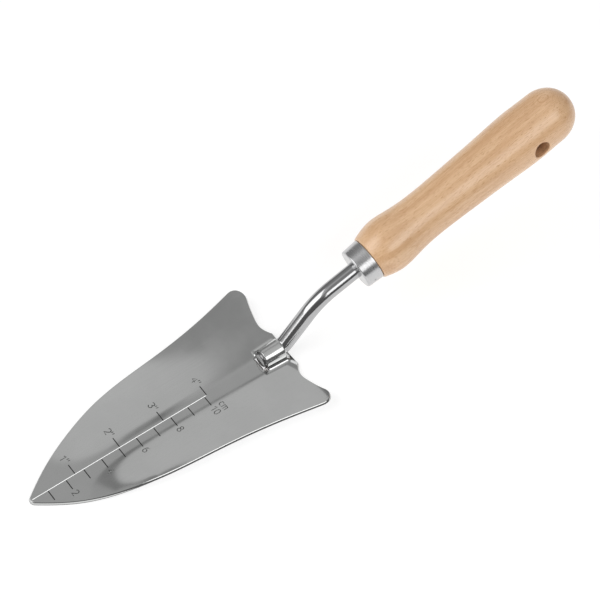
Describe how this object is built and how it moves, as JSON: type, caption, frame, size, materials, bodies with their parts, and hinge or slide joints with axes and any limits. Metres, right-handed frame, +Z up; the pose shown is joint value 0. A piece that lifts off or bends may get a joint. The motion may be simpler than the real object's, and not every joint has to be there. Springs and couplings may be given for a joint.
{
  "type": "hand trowel",
  "caption": "Hand trowel with a dished, pointed steel blade engraved with a depth scale, a cranked round neck, a short ferrule and a turned wooden handle with a hanging hole.",
  "frame": {"origin": "centre of the trowel's bounding box at its base, on the surface that the blade lies on", "axes": "+X from the blade's tip towards the end of the handle, +Y across the blade to the side with the inch marks, +Z up, out of the blade's hollow face"},
  "size_m": [0.322, 0.0808, 0.0857],
  "materials": {
    "blade_steel": "satin",
    "rod_steel": "polished",
    "weld_metal": "matte",
    "ferrule_steel": "satin",
    "beech_wood": "satin"
  },
  "bodies": {
    "root": {"blade": "blade_steel", "neck_rod": "rod_steel", "weld_bead": "weld_metal", "ferrule": "ferrule_steel", "handle": "beech_wood"}
  },
  "joints": []
}
